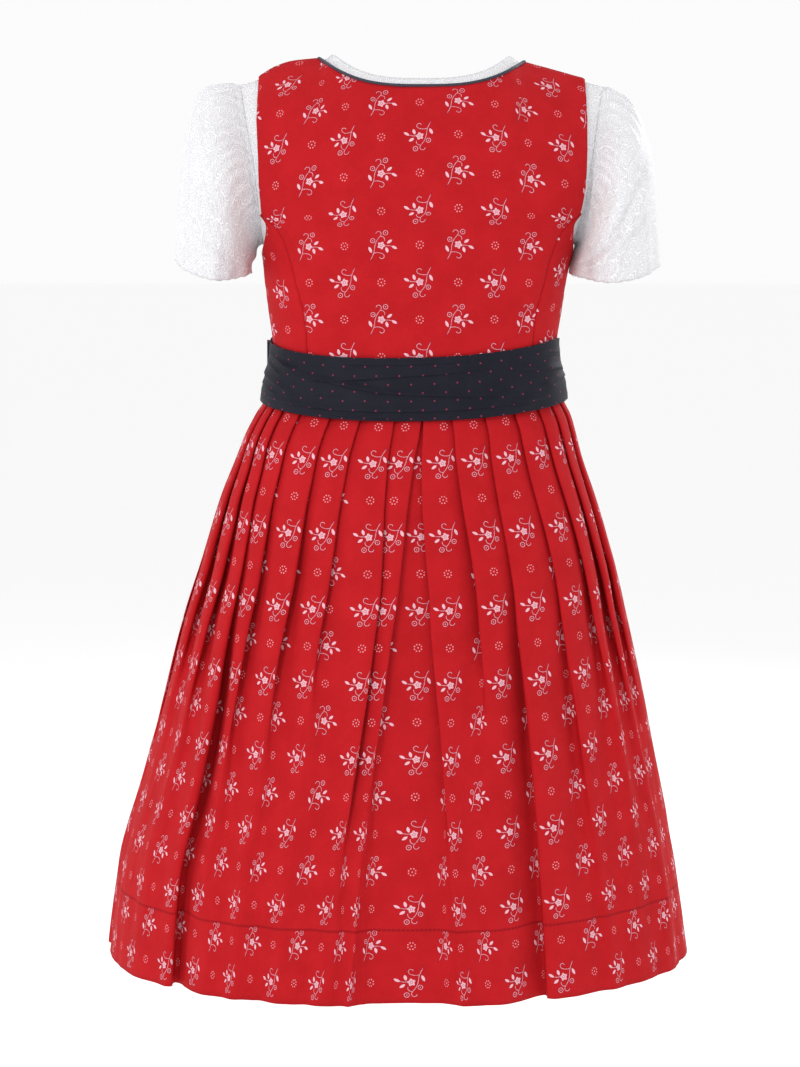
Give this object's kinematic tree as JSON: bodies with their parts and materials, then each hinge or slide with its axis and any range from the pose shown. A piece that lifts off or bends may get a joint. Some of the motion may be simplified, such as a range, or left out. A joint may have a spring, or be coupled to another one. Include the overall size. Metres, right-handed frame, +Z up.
{
  "type": "dirndl",
  "caption": "Child's dirndl in its worn hollow shape: sprigged bodice with curved back seams, pleated skirt, dotted sash tied at the front, apron and lace puff-sleeve blouse.",
  "frame": {"origin": "midway between the shoulder seams, where the wearer holds the dress up", "axes": "+Z up, the wearer faces -Y, the wearer's left is +X"},
  "size_m": [0.478, 0.3953, 0.7378],
  "materials": {
    "red_print": "matte red cotton with a pale pink sprig print",
    "navy_dotted": "navy cotton satin with small red dots",
    "navy_piping": "navy bias piping",
    "white_lace": "white cotton lace",
    "button_metal": "plain domed metal button"
  },
  "bodies": {
    "root": {"bodice_centre_back": "red_print", "bodice_side_back_left": "red_print", "bodice_side_back_right": "red_print", "bodice_front_left": "red_print", "bodice_front_right": "red_print", "neck_piping": "navy_piping", "button_1": "button_metal", "button_2": "button_metal", "button_3": "button_metal", "button_4": "button_metal", "button_5": "button_metal", "blouse_back": "white_lace", "blouse_front": "white_lace", "sleeve_left": "white_lace", "sleeve_right": "white_lace", "sash": "navy_dotted", "skirt_back": "red_print", "skirt_front": "red_print", "apron": "navy_dotted", "bow_knot": "navy_dotted", "bow_loop_left": "navy_dotted", "bow_loop_right": "navy_dotted", "bow_tail_left": "navy_dotted", "bow_tail_right": "navy_dotted"}
  },
  "joints": []
}
